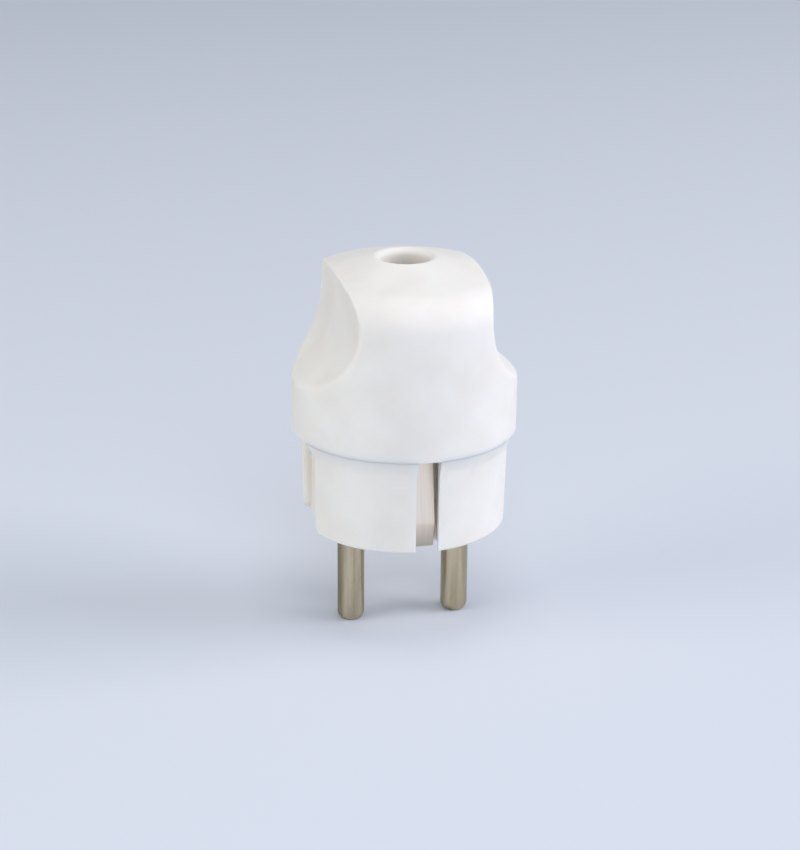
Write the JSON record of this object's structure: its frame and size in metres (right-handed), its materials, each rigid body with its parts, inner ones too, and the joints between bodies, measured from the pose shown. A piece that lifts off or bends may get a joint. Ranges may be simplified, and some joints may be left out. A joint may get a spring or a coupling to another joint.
{
  "type": "mains plug",
  "caption": "White rewirable mains plug with round contact pins, earth contacts in side slots, guide grooves, a cover with finger scallops and a straight cable entry.",
  "frame": {"origin": "on the engagement face, midway between the contact pins", "axes": "+X along the line of the pins, +Y towards the back earth contact, +Z away from the pins along the cable"},
  "size_m": [0.0392, 0.0392, 0.0668],
  "materials": {
    "white_moulding": "semi-gloss white moulded plastic",
    "nickel_plated_pin": "nickel-plated turned brass",
    "nickel_plated_strip": "nickel-plated spring brass strip",
    "zinc_plated_steel": "bright zinc plate"
  },
  "bodies": {
    "root": {"cover": "white_moulding", "base": "white_moulding", "earth_bracket": "nickel_plated_strip", "earth_clamp_washer": "zinc_plated_steel", "cord_clamp_bar": "white_moulding", "pin_live": "nickel_plated_pin", "pin_neutral": "nickel_plated_pin", "terminal_screw_live": "zinc_plated_steel", "terminal_screw_neutral": "zinc_plated_steel", "earth_terminal_screw": "zinc_plated_steel", "cord_clamp_screw_left": "zinc_plated_steel", "cord_clamp_screw_right": "zinc_plated_steel", "cover_screw_back": "zinc_plated_steel", "cover_screw_front": "zinc_plated_steel"}
  },
  "joints": []
}
